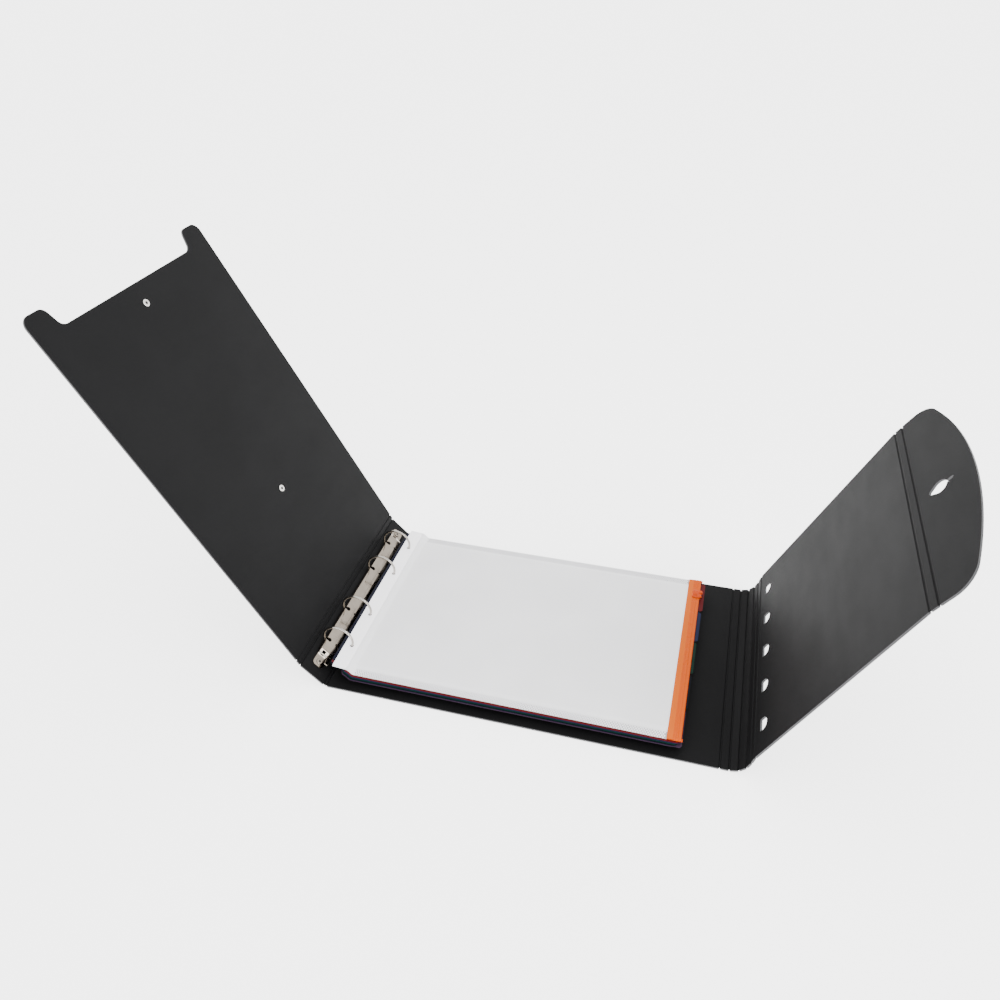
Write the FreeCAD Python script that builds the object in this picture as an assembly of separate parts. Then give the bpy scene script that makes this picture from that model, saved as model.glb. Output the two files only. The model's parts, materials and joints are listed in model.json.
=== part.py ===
import FreeCAD, Part
import math
import os

from FreeCAD import Placement, Rotation, Vector

# Four-ring landscape binder of creased polypropylene sheet, standing open.
# Origin: middle of the base panel's underside.  +X runs from the spine to the
# wrap-around flap, +Y along the spine, +Z up.  All sizes are in millimetres.

# ---- sheet and panels ------------------------------------------------------
SHEET = 2.0                 # thickness of the cover sheet
LENGTH = 235.0              # every panel, measured along the spine
BASE_WIDTH = 370.0
SPINE_STRIP = 3.1           # narrow strip between base and spine
SPINE_WIDTH = 30.0
COVER_STRIP = 6.3           # narrow strip between spine and front cover
COVER_REACH = 365.8         # crease to the tips of the cover's ears
GUSSET_STRIP = 8.1
GUSSET_COUNT = 5
FLAP_WIDTH = 207.0
TIP_STRIP = 7.9
TIP_REACH = 52.0

# ---- slope of each panel above the table, in degrees -------------------------
SPINE_STRIP_SLOPE = 27.0
SPINE_SLOPE = 46.5
COVER_STRIP_SLOPE = 67.0
COVER_SLOPE = 63.0
GUSSET_SLOPES = (0.5, 15.3, 47.2, 68.8, 76.8)
FLAP_SLOPE = 66.0
TIP_SLOPE = 59.3

# ---- creases ----------------------------------------------------------------
CREASE_GAP = 0.15           # each panel stops this far from the fold line
INNER_BEVEL = 1.0           # room for a 90 degree fold on the inside
OUTER_BEVEL = 0.55          # room to fold back a little on the outside
CORNER_NOTCH = 1.0          # nick at each end of a crease
SPINE_STRIP_SLACK = 0.2     # the spine turns about the strip's middle, so the strip stops short of it

# ---- outlines ----------------------------------------------------------------
EAR_WIDTH = 24.0
EAR_DEPTH = 18.5
EAR_SLANT = 5.5
EAR_OUTER_RADIUS = 9.0
EAR_INNER_RADIUS = 7.0
WINDOW_PITCH = 44.0         # D-shaped windows beside the gusset, one per tab
WINDOW_COUNT = 5
WINDOW_START = 7.5
WINDOW_DEPTH = 9.6
WINDOW_LENGTH = 13.2
WINDOW_RADIUS = 6.2
TIP_ARC_RADIUS = 300.0
TIP_CORNER_RADIUS = 24.0
KEYHOLE_NOSE = 14.0         # distances from the tip's crease
KEYHOLE_NOSE_RADIUS = 3.0
KEYHOLE_EYE = 20.8
KEYHOLE_EYE_RADIUS = 6.8
KEYHOLE_END = 32.2
KEYHOLE_TAIL_WIDTH = 3.2

# ---- closing button and edge rivet in the front cover -------------------------
BUTTON_PLACE = 122.8        # from the cover's crease
BUTTON_STEM_RADIUS = 1.0
BUTTON_STEM_LENGTH = 4.0
BUTTON_CAP_RADIUS = 4.5
BUTTON_CAP_HEIGHT = 1.6
RIVET_PLACE = 329.0
RIVET_HEAD_RADIUS = 3.8
RIVET_HEAD_HEIGHT = 0.9
RIVET_BORE_RADIUS = 1.5
SHANK_RADIUS = 2.2
SHANK_HOLE_RADIUS = 2.3
WASHER_RADIUS = 3.3
WASHER_HEIGHT = 0.6

# ---- ring mechanism ----------------------------------------------------------
RING_PLACES = (-77.5, -32.5, 32.5, 77.5)
RING_RADIUS = 15.0
WIRE_RADIUS = 1.2
RING_HEIGHT = 16.7          # ring centre above the middle of the spine sheet
RAIL_PLACE = 16.1           # rail centre from the spine's lower fold line
RAIL_HALF_WIDTH = 7.65
RAIL_HALF_LENGTH = 90.0
RAIL_TOP = 7.0
RAIL_WALL = 0.8
RAIL_RIDGE = 2.0            # the raised ridge line, off centre
TONGUE_HALF_WIDTH = 6.0
TONGUE_END = 107.0
TONGUE_THICKNESS = 1.2
RAIL_RIVET_PLACE = 101.5
RAIL_RIVET_RADIUS = 1.7
RAIL_RIVET_HEAD = 3.2
PLATE_THICKNESS = 0.5
PLATE_BOTTOM = 1.5
PLATE_EDGE = 6.5
HALF_START = -65.0          # a half ring's lower end, as an angle on the ring
STUB_END = 3.0
OPENING_PIVOT = (-6.4, 1.75)  # across the rail, and above the sheet's middle
LEVER_PIVOT = (-93.5, 3.5)    # along the rail, and above the sheet's middle
LEVER_RADIUS = 1.5
LEVER_SIDE = (3.8, 7.2)
PIN_RADIUS = 0.8

# ---- sheets on the rings -------------------------------------------------------
HOLE_RADIUS = 3.0
HOLE_EDGE = 12.0            # hole centre from the sheet's left edge
HOLE_WELD = 6.5             # hole centre to the weld line
STRIP_SLOPE = 6.0           # the punched margins lean down to the right
DROP_RUN = 7.5              # the sheets curve down to their level over this run
DIVIDER_NAMES = ("grey", "navy", "teal", "blue", "red")   # from the bottom up
DIVIDER_NEAR = -111.3        # they stand out past the pocket at the near end only
DIVIDER_FAR = 104.6
DIVIDER_RIGHT = 335.5       # from the base's left crease
TAB_REACH = 4.3
DIVIDER_LEVEL = 9.4
DIVIDER_PITCH = 0.7
DIVIDER_THICKNESS = 0.3
DIVIDER_CORNER = 5.0
EDGE_STRIP_HALF_LENGTH = 102.5
EDGE_STRIP_THICKNESS = 0.2
HOLE_LEVEL = 16.0
HOLE_PITCH = 0.6
POCKET_HALF_LENGTH = 107.0
POCKET_BOTTOM = 12.85
POCKET_TOP = 14.25
FILM_THICKNESS = 0.25
ZIP_LEFT = 322.3            # from the base's left crease
ZIP_RIGHT = 335.0
ZIP_TRACK = 330.0
ZIP_TRACK_WIDTH = 3.0
SLIDER_PLACE = 84.0
SLIDER_LENGTH = 11.0
STOP_LENGTH = 2.2

HALF = LENGTH / 2.0
LEFT_CREASE = -BASE_WIDTH / 2.0
Y_AXIS = Vector(0, 1, 0)


# ---- frames -------------------------------------------------------------------
def step(point, slope, length):
    """The point a given length away, up a slope in degrees from +X."""
    angle = math.radians(slope)
    return (point[0] + length * math.cos(angle), point[1] + length * math.sin(angle))


def panel_frames():
    """Fold line (x, z) and turn about +Y of every panel, by node name."""
    frames = {"base_panel": ((0.0, SHEET / 2.0), 0.0)}
    fold = (LEFT_CREASE, SHEET / 2.0)
    left = (
        ("spine_strip", SPINE_STRIP_SLOPE, SPINE_STRIP),
        ("spine_panel", SPINE_SLOPE, SPINE_WIDTH),
        ("cover_strip", COVER_STRIP_SLOPE, COVER_STRIP),
        ("front_cover", COVER_SLOPE, COVER_REACH),
    )
    for name, slope, width in left:
        frames[name] = (fold, slope)
        fold = step(fold, 180.0 - slope, width)
    fold = (BASE_WIDTH / 2.0, SHEET / 2.0)
    for number, slope in enumerate(GUSSET_SLOPES, 1):
        frames["gusset_strip_%d" % number] = (fold, -slope)
        fold = step(fold, slope, GUSSET_STRIP)
    right = (
        ("wrap_flap", FLAP_SLOPE, FLAP_WIDTH),
        ("tip_strip", TIP_SLOPE, TIP_STRIP),
        ("closing_tip", TIP_SLOPE, TIP_REACH),
    )
    for name, slope, width in right:
        frames[name] = (fold, -slope)
        fold = step(fold, slope, width)
    return frames


FRAMES = panel_frames()


def place(shape, name):
    """Move a shape from a panel's own frame to where the panel stands."""
    (x, z), turn = FRAMES[name]
    moved = shape.copy()
    moved.Placement = Placement(Vector(x, 0, z), Rotation(Y_AXIS, turn)).multiply(shape.Placement)
    return moved


def spine_point(across, height):
    """World (x, z) of a point given across the rail and above the spine."""
    (x, z), turn = FRAMES["spine_panel"]
    angle = math.radians(turn)
    across -= RAIL_PLACE
    return (
        x + across * math.cos(angle) + height * math.sin(angle),
        z - across * math.sin(angle) + height * math.cos(angle),
    )


RING_CENTRE = spine_point(0.0, RING_HEIGHT)


# ---- outlines and plates ---------------------------------------------------------
def outline_face(corners):
    """A flat face in XY from corners (x, y, radius), each rounded by its radius."""
    ends = []
    for index, (x, y, radius) in enumerate(corners):
        here = Vector(x, y, 0)
        before = (Vector(corners[index - 1][0], corners[index - 1][1], 0) - here).normalize()
        after_corner = corners[(index + 1) % len(corners)]
        after = (Vector(after_corner[0], after_corner[1], 0) - here).normalize()
        if not radius:
            ends.append((here, None, here))
            continue
        half = before.getAngle(after) / 2.0
        inward = (before + after).normalize()
        middle = here + inward * (radius / math.sin(half) - radius)
        run = radius / math.tan(half)
        ends.append((here + before * run, middle, here + after * run))
    edges = []
    for index, (start, middle, finish) in enumerate(ends):
        if middle is not None:
            edges.append(Part.Arc(start, middle, finish).toShape())
        following = ends[(index + 1) % len(ends)][0]
        if (following - finish).Length > 1e-6:
            edges.append(Part.LineSegment(finish, following).toShape())
    return Part.Face(Part.Wire(edges))


def plate(corners, bottom, thickness):
    """A flat plate over an outline, its underside at a given height."""
    solid = outline_face(corners).extrude(Vector(0, 0, thickness))
    solid.translate(Vector(0, 0, bottom))
    return solid


def box(low, high):
    size = Vector(*high) - Vector(*low)
    return Part.makeBox(size.x, size.y, size.z, Vector(*low))


def prism_along_y(points, half_length):
    """A closed (x, z) polygon drawn out along Y, the same both ways."""
    ring = [Vector(x, -half_length, z) for x, z in points]
    face = Part.Face(Part.makePolygon(ring + ring[:1]))
    return face.extrude(Vector(0, 2.0 * half_length, 0))


def sheet_section(low, high, fold_low, fold_high):
    """Cross-section of a panel: bevelled where it folds, square at a free edge."""
    half = SHEET / 2.0
    if fold_low:
        start = [
            (low + CREASE_GAP + OUTER_BEVEL, -half),
            (low + CREASE_GAP, 0.0),
            (low + CREASE_GAP + INNER_BEVEL, half),
        ]
    else:
        start = [(low, -half), (low, half)]
    if fold_high:
        end = [
            (high - CREASE_GAP - INNER_BEVEL, half),
            (high - CREASE_GAP, 0.0),
            (high - CREASE_GAP - OUTER_BEVEL, -half),
        ]
    else:
        end = [(high, half), (high, -half)]
    return start + end


def folded_plate(corners, low, high, fold_low=True, fold_high=True):
    blank = plate(corners, -SHEET / 2.0, SHEET)
    return blank.common(prism_along_y(sheet_section(low, high, fold_low, fold_high), LENGTH))


def strip_corners(low, high):
    """A plain panel between two creases, with a nick at each crease end."""
    nick = min(CORNER_NOTCH, (high - low) / 3.0)
    return [
        (low, -HALF + nick, 0), (low + nick, -HALF, 0),
        (high - nick, -HALF, 0), (high, -HALF + nick, 0),
        (high, HALF - nick, 0), (high - nick, HALF, 0),
        (low + nick, HALF, 0), (low, HALF - nick, 0),
    ]


def upright(radius, height, x, y, bottom):
    return Part.makeCylinder(radius, height, Vector(x, y, bottom))


# ---- cover panels -------------------------------------------------------------------
def base_panel():
    reach = BASE_WIDTH / 2.0
    return place(folded_plate(strip_corners(-reach, reach), -reach, reach), "base_panel")


def left_strip(name, width):
    return place(folded_plate(strip_corners(-width, 0.0), -width, 0.0), name)


def right_strip(name, width):
    return place(folded_plate(strip_corners(0.0, width), 0.0, width), name)


def spine_panel():
    panel = folded_plate(strip_corners(-SPINE_WIDTH, 0.0), -SPINE_WIDTH, 0.0)
    for side in (-1, 1):
        panel = panel.cut(
            upright(RAIL_RIVET_RADIUS, 2 * SHEET, -RAIL_PLACE, side * RAIL_RIVET_PLACE, -SHEET)
        )
    return place(panel, "spine_panel")


def front_cover():
    """The cover ends in two rounded ears either side of a shallow recess."""
    inner = HALF - EAR_WIDTH
    tip = -COVER_REACH
    recess = tip + EAR_DEPTH
    corners = [
        (0.0, -HALF + CORNER_NOTCH, 0),
        (-CORNER_NOTCH, -HALF, 0),
        (tip, -HALF, EAR_OUTER_RADIUS),
        (tip, -inner, EAR_INNER_RADIUS),
        (recess, -inner + EAR_SLANT, EAR_INNER_RADIUS),
        (recess, inner - EAR_SLANT, EAR_INNER_RADIUS),
        (tip, inner, EAR_INNER_RADIUS),
        (tip, HALF, EAR_OUTER_RADIUS),
        (-CORNER_NOTCH, HALF, 0),
        (0.0, HALF - CORNER_NOTCH, 0),
    ]
    panel = folded_plate(corners, tip, 0.0, fold_low=False)
    for distance in (BUTTON_PLACE, RIVET_PLACE):
        panel = panel.cut(upright(SHANK_HOLE_RADIUS, 2 * SHEET, -distance, 0.0, -SHEET))
    return place(panel, "front_cover")


def window_centres():
    middle = (WINDOW_COUNT - 1) / 2.0
    return [(number - middle) * WINDOW_PITCH for number in range(WINDOW_COUNT)]


def wrap_flap():
    """The flap has a row of D-shaped windows beside the gusset."""
    panel = folded_plate(strip_corners(0.0, FLAP_WIDTH), 0.0, FLAP_WIDTH)
    far = WINDOW_START + WINDOW_DEPTH
    half = WINDOW_LENGTH / 2.0
    for centre in window_centres():
        corners = [
            (WINDOW_START, centre - half, 0.8), (far, centre - half, WINDOW_RADIUS),
            (far, centre + half, WINDOW_RADIUS), (WINDOW_START, centre + half, 0.8),
        ]
        panel = panel.cut(plate(corners, -SHEET, 2 * SHEET))
    return place(panel, "wrap_flap")


def keyhole():
    """Pear-shaped eye with a narrow tail, cut through the closing tip."""
    gap = KEYHOLE_EYE - KEYHOLE_NOSE
    lean = math.asin((KEYHOLE_EYE_RADIUS - KEYHOLE_NOSE_RADIUS) / gap)
    tangents = []
    for centre, radius in ((KEYHOLE_NOSE, KEYHOLE_NOSE_RADIUS), (KEYHOLE_EYE, KEYHOLE_EYE_RADIUS)):
        tangents.append((centre - radius * math.sin(lean), radius * math.cos(lean)))
    (x_nose, y_nose), (x_eye, y_eye) = tangents
    corners = [(x_nose, -y_nose, 0), (x_eye, -y_eye, 0), (x_eye, y_eye, 0), (x_nose, y_nose, 0)]
    tool = plate(corners, -SHEET, 2 * SHEET)
    for centre, radius in (
        (KEYHOLE_NOSE, KEYHOLE_NOSE_RADIUS),
        (KEYHOLE_EYE, KEYHOLE_EYE_RADIUS),
        (KEYHOLE_END, KEYHOLE_TAIL_WIDTH / 2.0),
    ):
        tool = tool.fuse(upright(radius, 2 * SHEET, centre, 0.0, -SHEET))
    half = KEYHOLE_TAIL_WIDTH / 2.0
    return tool.fuse(box((KEYHOLE_EYE, -half, -SHEET), (KEYHOLE_END, half, SHEET)))


def closing_tip():
    blank = plate(
        [(0.0, -HALF, 0), (TIP_REACH + 1.0, -HALF, 0), (TIP_REACH + 1.0, HALF, 0), (0.0, HALF, 0)],
        -SHEET / 2.0, SHEET,
    )
    disc = Part.makeCylinder(
        TIP_ARC_RADIUS, SHEET, Vector(TIP_REACH - TIP_ARC_RADIUS, 0, -SHEET / 2.0)
    )
    blank = blank.common(disc)
    corners = [
        edge for edge in blank.Edges
        if abs(edge.BoundBox.ZLength - SHEET) < 1e-6 and edge.CenterOfMass.x > 1.0
    ]
    blank = blank.makeFillet(TIP_CORNER_RADIUS, corners)
    section = sheet_section(0.0, TIP_REACH + 1.0, True, False)
    blank = blank.common(prism_along_y(section, LENGTH))
    return place(blank.cut(keyhole()), "closing_tip")


# ---- button and rivet -----------------------------------------------------------------
def closing_button():
    """Mushroom button on the outside of the cover, for the keyhole to hook over."""
    outside = -SHEET / 2.0
    stem = upright(BUTTON_STEM_RADIUS, BUTTON_STEM_LENGTH, 0, 0, outside - BUTTON_STEM_LENGTH)
    collar = Part.makeCone(BUTTON_STEM_RADIUS, SHANK_RADIUS + 1.0, 0.6, Vector(0, 0, outside - 0.6))
    shank = upright(SHANK_RADIUS, SHEET, 0, 0, outside)
    under = outside - BUTTON_STEM_LENGTH - BUTTON_CAP_HEIGHT
    cap = upright(BUTTON_CAP_RADIUS, BUTTON_CAP_HEIGHT, 0, 0, under)
    cap = cap.makeFillet(1.1, [e for e in cap.Edges if abs(e.BoundBox.ZMax - under) < 1e-6])
    button = stem.fuse(collar).fuse(shank).fuse(cap).removeSplitter()
    button.translate(Vector(-BUTTON_PLACE, 0, 0))
    return place(button, "front_cover")


def edge_rivet():
    """Low tubular rivet near the free edge."""
    outside = -SHEET / 2.0
    head = upright(RIVET_HEAD_RADIUS, RIVET_HEAD_HEIGHT, 0, 0, outside - RIVET_HEAD_HEIGHT)
    low = outside - RIVET_HEAD_HEIGHT
    head = head.makeFillet(0.5, [e for e in head.Edges if abs(e.BoundBox.ZMax - low) < 1e-6])
    rivet = head.fuse(upright(SHANK_RADIUS, SHEET, 0, 0, outside))
    rivet = rivet.cut(upright(RIVET_BORE_RADIUS, 4 * SHEET, 0, 0, -2 * SHEET))
    rivet.translate(Vector(-RIVET_PLACE, 0, 0))
    return place(rivet, "front_cover")


def cover_washers():
    """Rolled rings on the inside of the cover, one at the button, one at the rivet."""
    inside = SHEET / 2.0
    rings = []
    for distance in (BUTTON_PLACE, RIVET_PLACE):
        ring = upright(WASHER_RADIUS, WASHER_HEIGHT, -distance, 0, inside)
        ring = ring.makeFillet(0.4, [e for e in ring.Edges if e.BoundBox.ZMin > inside + 1e-3])
        ring = ring.cut(upright(RIVET_BORE_RADIUS, 4 * SHEET, -distance, 0, -2 * SHEET))
        rings.append(ring)
    return place(Part.makeCompound(rings), "front_cover")


# ---- ring mechanism, drawn across the rail (x), along it (y) and up from the spine (z) ----
def place_on_spine(shape):
    moved = shape.copy()
    moved.translate(Vector(-RAIL_PLACE, 0, 0))
    return place(moved, "spine_panel")


def rail_section(inset):
    """Half-open arch with a ridge line off centre; inset gives the inner wall."""
    side = RAIL_HALF_WIDTH - inset
    top = RAIL_TOP - inset
    foot = SHEET / 2.0 + 0.05
    return [
        (-side, foot), (-side, 3.9), (-side + 1.1, top - 1.3), (-side + 3.0, top - 0.2),
        (RAIL_RIDGE - 0.4, top), (RAIL_RIDGE + 0.6, top - 0.45),
        (side - 1.6, top - 1.1), (side, 3.9), (side, foot),
    ]


def ring_rail():
    rail = prism_along_y(rail_section(0.0), RAIL_HALF_LENGTH)
    rail = rail.cut(prism_along_y(rail_section(RAIL_WALL), RAIL_HALF_LENGTH + 1.0))
    foot = SHEET / 2.0 + 0.05
    for y in RING_PLACES:
        slot = box((-9.0, y - 1.8, foot + 0.5), (-4.0, y + 1.8, 9.0))
        eye = upright(2.1, 9.0, -4.0, y, foot + 0.5)
        notch = box((3.3, y - 1.1, 4.0), (5.1, y + 1.1, 9.0))
        exit_hole = box((5.8, y - 1.7, foot + 0.5), (9.0, y + 1.7, 5.9))
        rail = rail.cut(slot.fuse(eye).fuse(notch).fuse(exit_hole))
    for side in (-1, 1):
        rail = rail.fuse(rail_end(side))
    return place_on_spine(rail.removeSplitter())


def rail_end(side):
    """Ramp down from the arch to a flat riveted tongue."""
    foot = SHEET / 2.0 + 0.05
    start = side * (RAIL_HALF_LENGTH - 0.5)
    ramp_end = side * (RAIL_HALF_LENGTH + 6.5)
    tip = side * TONGUE_END
    tongue = plate(
        [
            (-TONGUE_HALF_WIDTH, ramp_end, 0), (TONGUE_HALF_WIDTH, ramp_end, 0),
            (TONGUE_HALF_WIDTH, tip, 3.5), (-TONGUE_HALF_WIDTH, tip, 3.5),
        ],
        foot, TONGUE_THICKNESS,
    )
    ramp = Part.Face(Part.makePolygon([
        Vector(-TONGUE_HALF_WIDTH, start, RAIL_TOP - 1.6), Vector(-TONGUE_HALF_WIDTH, start, RAIL_TOP - 0.9),
        Vector(-TONGUE_HALF_WIDTH, ramp_end, foot + TONGUE_THICKNESS),
        Vector(-TONGUE_HALF_WIDTH, ramp_end, foot),
        Vector(-TONGUE_HALF_WIDTH, start, RAIL_TOP - 1.6),
    ])).extrude(Vector(2 * TONGUE_HALF_WIDTH, 0, 0))
    low, high = sorted((start, ramp_end))
    window = box((-3.6, low + 1.5, 0.0), (0.2, high - 1.0, 9.0))
    hole = upright(RAIL_RIVET_RADIUS, 9.0, 0, side * RAIL_RIVET_PLACE, 0)
    end = tongue.fuse(ramp.cut(window)).cut(hole)
    if side < 0:
        y, height = LEVER_PIVOT
        pin_bore = Part.makeCylinder(PIN_RADIUS + 0.02, 20.0, Vector(-10.0, y, height), Vector(1, 0, 0))
        end = end.cut(box((LEVER_SIDE[0] - 0.5, -98.5, 0.0), (9.0, -89.8, 9.0))).cut(pin_bore)
    return end


def rail_rivets():
    """Two rivets through the rail's tongues and the spine."""
    foot = SHEET / 2.0 + 0.05
    top = foot + TONGUE_THICKNESS
    rivets = []
    for side in (-1, 1):
        shank = upright(RAIL_RIVET_RADIUS - 0.02, top + SHEET / 2.0, 0, 0, -SHEET / 2.0)
        head = upright(RAIL_RIVET_HEAD, 0.8, 0, 0, top)
        head = head.makeFillet(0.6, [e for e in head.Edges if e.BoundBox.ZMin > top + 0.5])
        tail = upright(RAIL_RIVET_HEAD, 0.7, 0, 0, -SHEET / 2.0 - 0.7)
        rivet = shank.fuse(head).fuse(tail)
        rivet.translate(Vector(0, side * RAIL_RIVET_PLACE, 0))
        rivets.append(rivet)
    return place_on_spine(Part.makeCompound(rivets))


def hinge_plate(side):
    """Thin steel plate inside the rail that carries one row of half rings."""
    inner, outer = side * 0.2, side * PLATE_EDGE
    low, high = sorted((inner, outer))
    reach = RAIL_HALF_LENGTH - 2.0
    top = PLATE_BOTTOM + PLATE_THICKNESS
    return place_on_spine(box((low, -reach, PLATE_BOTTOM), (high, reach, top)))


def half_ring(side, y):
    """Half of one ring: a stub on the hinge plate, then an arc up to the meeting point."""
    gap = math.degrees(0.1 / RING_RADIUS)
    start, finish = math.radians(HALF_START), math.radians(90.0 - gap)
    middle = (start + finish) / 2.0
    on_ring = [
        Vector(side * RING_RADIUS * math.cos(a), y, RING_HEIGHT + RING_RADIUS * math.sin(a))
        for a in (start, middle, finish)
    ]
    path = Part.Wire([Part.Arc(*on_ring).toShape()])
    tangent = Vector(side * -math.sin(start), 0, math.cos(start))
    section = Part.Wire([Part.makeCircle(WIRE_RADIUS, on_ring[0], tangent)])
    arc = path.makePipeShell([section], True, False)
    stub_start = Vector(side * STUB_END, y, on_ring[0].z)
    stub = Part.makeCylinder(
        WIRE_RADIUS, abs(on_ring[0].x) - STUB_END, stub_start, Vector(side, 0, 0)
    )
    knee = Part.makeSphere(WIRE_RADIUS, on_ring[0])
    return arc.fuse(stub).fuse(knee).removeSplitter()


def half_rings(side):
    return place_on_spine(Part.makeCompound([half_ring(side, y) for y in RING_PLACES]))


def lever_pin():
    y, height = LEVER_PIVOT
    start = -TONGUE_HALF_WIDTH + 0.4
    length = LEVER_SIDE[1] + 0.2 - start
    return place_on_spine(Part.makeCylinder(PIN_RADIUS, length, Vector(start, y, height), Vector(1, 0, 0)))


def trigger_lever():
    """Bent thumb lever on the pin at the near end of the rail."""
    y, height = LEVER_PIVOT
    low, high = LEVER_SIDE
    width = high - low
    hub = Part.makeCylinder(LEVER_RADIUS, width, Vector(low, y, height), Vector(1, 0, 0))
    blade = Part.Face(Part.makePolygon([
        Vector(low, y, height + 1.5), Vector(low, y - 5.0, height + 2.4),
        Vector(low, y - 9.5, height + 3.9), Vector(low, y - 10.0, height + 3.2),
        Vector(low, y - 5.2, height + 1.4), Vector(low, y, height + 0.2),
        Vector(low, y, height + 1.5),
    ])).extrude(Vector(width, 0, 0))
    lever = hub.fuse(blade)
    bore = Part.makeCylinder(PIN_RADIUS + 0.06, width + 2, Vector(low - 1, y, height), Vector(1, 0, 0))
    return place_on_spine(lever.cut(bore))


# ---- sheets on the rings, in the world frame --------------------------------------------
def hole_point(level):
    """Where the ring wire passes through a sheet's margin at this height."""
    drop = level - RING_CENTRE[1]
    return (RING_CENTRE[0] + math.sqrt(RING_RADIUS ** 2 - drop ** 2), level)


def sheet_line(hole_level, body_level, right):
    """Centre line of a sheet: sloping punched margin, smooth drop, then level."""
    hole_x, hole_z = hole_point(hole_level)
    fall = math.tan(math.radians(STRIP_SLOPE))
    margin = [(hole_x - HOLE_EDGE, hole_z + HOLE_EDGE * fall)]
    weld = (hole_x + HOLE_WELD, hole_z - HOLE_WELD * fall)
    curve = []
    for number in range(5):
        share = number / 4.0
        ease = share * share * (3.0 - 2.0 * share)
        curve.append((weld[0] + DROP_RUN * share, weld[1] + (body_level - weld[1]) * ease))
    return margin + curve, (right, body_level)


def sheet_solid(hole_level, body_level, right, thickness, half_length):
    """A thin sheet that follows its centre line, drawn out along Y."""
    margin_and_curve, end = sheet_line(hole_level, body_level, right)
    start, curve = margin_and_curve[0], margin_and_curve[1:]

    def side(offset):
        points = [Vector(x, -half_length, z + offset) for x, z in curve]
        spline = Part.BSplineCurve()
        spline.interpolate(points)
        first = Part.LineSegment(Vector(start[0], -half_length, start[1] + offset), points[0])
        last = Part.LineSegment(points[-1], Vector(end[0], -half_length, end[1] + offset))
        return [first.toShape(), spline.toShape(), last.toShape()]

    upper, lower = side(thickness / 2.0), side(-thickness / 2.0)
    caps = [
        Part.LineSegment(upper[2].Vertexes[-1].Point, lower[2].Vertexes[-1].Point).toShape(),
        Part.LineSegment(upper[0].Vertexes[0].Point, lower[0].Vertexes[0].Point).toShape(),
    ]
    wire = Part.Wire(Part.__sortEdges__(upper + lower + caps))
    return Part.Face(wire).extrude(Vector(0, 2.0 * half_length, 0))


def punched(shape, hole_level):
    x, z = hole_point(hole_level)
    for y in RING_PLACES:
        shape = shape.cut(upright(HOLE_RADIUS, 8.0, x, y, z - 4.0))
    return shape


def divider_levels(number):
    return HOLE_LEVEL + number * HOLE_PITCH, DIVIDER_LEVEL + number * DIVIDER_PITCH


def divider_sheet(number):
    """A coloured sheet; its index tab stands past the right edge."""
    hole_level, level = divider_levels(number)
    right = LEFT_CREASE + DIVIDER_RIGHT
    sheet = sheet_solid(hole_level, level, right, DIVIDER_THICKNESS, -DIVIDER_NEAR)
    left = hole_point(hole_level)[0] - HOLE_EDGE
    strip = EDGE_STRIP_HALF_LENGTH
    rounded = plate(
        [
            (left, -strip, 2.0), (left + HOLE_EDGE + 1.5, -strip, 0),
            (left + HOLE_EDGE + 6.0, DIVIDER_NEAR, 3.0), (right, DIVIDER_NEAR, DIVIDER_CORNER),
            (right, DIVIDER_FAR, DIVIDER_CORNER), (left + HOLE_EDGE + 6.0, DIVIDER_FAR, 3.0),
            (left + HOLE_EDGE + 1.5, strip, 0), (left, strip, 2.0),
        ],
        0.0, 30.0,
    )
    sheet = sheet.common(rounded)
    tab_length = (DIVIDER_FAR - DIVIDER_NEAR) / len(DIVIDER_NAMES)
    low = DIVIDER_NEAR + number * tab_length
    tab = plate(
        [
            (right - 8.0, low + 0.4, 0), (right + TAB_REACH, low + 0.4, 3.0),
            (right + TAB_REACH, low + tab_length - 0.4, 3.0), (right - 8.0, low + tab_length - 0.4, 0),
        ],
        level - DIVIDER_THICKNESS / 2.0, DIVIDER_THICKNESS,
    )
    return punched(sheet.fuse(tab).removeSplitter(), hole_level)


def margin_strip(hole_level, lift, thickness, half_length):
    """Reinforcing strip on top of a sheet's punched margin."""
    hole_x, hole_z = hole_point(hole_level)
    fall = math.tan(math.radians(STRIP_SLOPE))
    low, high = hole_x - HOLE_EDGE, hole_x + HOLE_WELD - 0.3
    bottom_low = hole_z + HOLE_EDGE * fall + lift
    bottom_high = hole_z - (HOLE_WELD - 0.3) * fall + lift
    strip = prism_along_y(
        [
            (low, bottom_low), (low, bottom_low + thickness),
            (high, bottom_high + thickness), (high, bottom_high),
        ],
        half_length,
    )
    rounded = plate(
        [(low, -half_length, 2.0), (high, -half_length, 3.0), (high, half_length, 3.0), (low, half_length, 2.0)],
        0.0, 30.0,
    )
    return punched(strip.common(rounded), hole_level)


def divider_strip(number):
    hole_level = divider_levels(number)[0]
    lift = DIVIDER_THICKNESS / 2.0
    return margin_strip(hole_level, lift, EDGE_STRIP_THICKNESS, EDGE_STRIP_HALF_LENGTH)


# ---- zip pocket ----------------------------------------------------------------------------
POCKET_HOLE_LEVEL = HOLE_LEVEL + len(DIVIDER_NAMES) * HOLE_PITCH


def pocket_bottom_film():
    right = LEFT_CREASE + ZIP_LEFT - 0.1
    film = sheet_solid(
        POCKET_HOLE_LEVEL, POCKET_BOTTOM, right, FILM_THICKNESS, POCKET_HALF_LENGTH
    )
    return punched(film, POCKET_HOLE_LEVEL)


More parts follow.
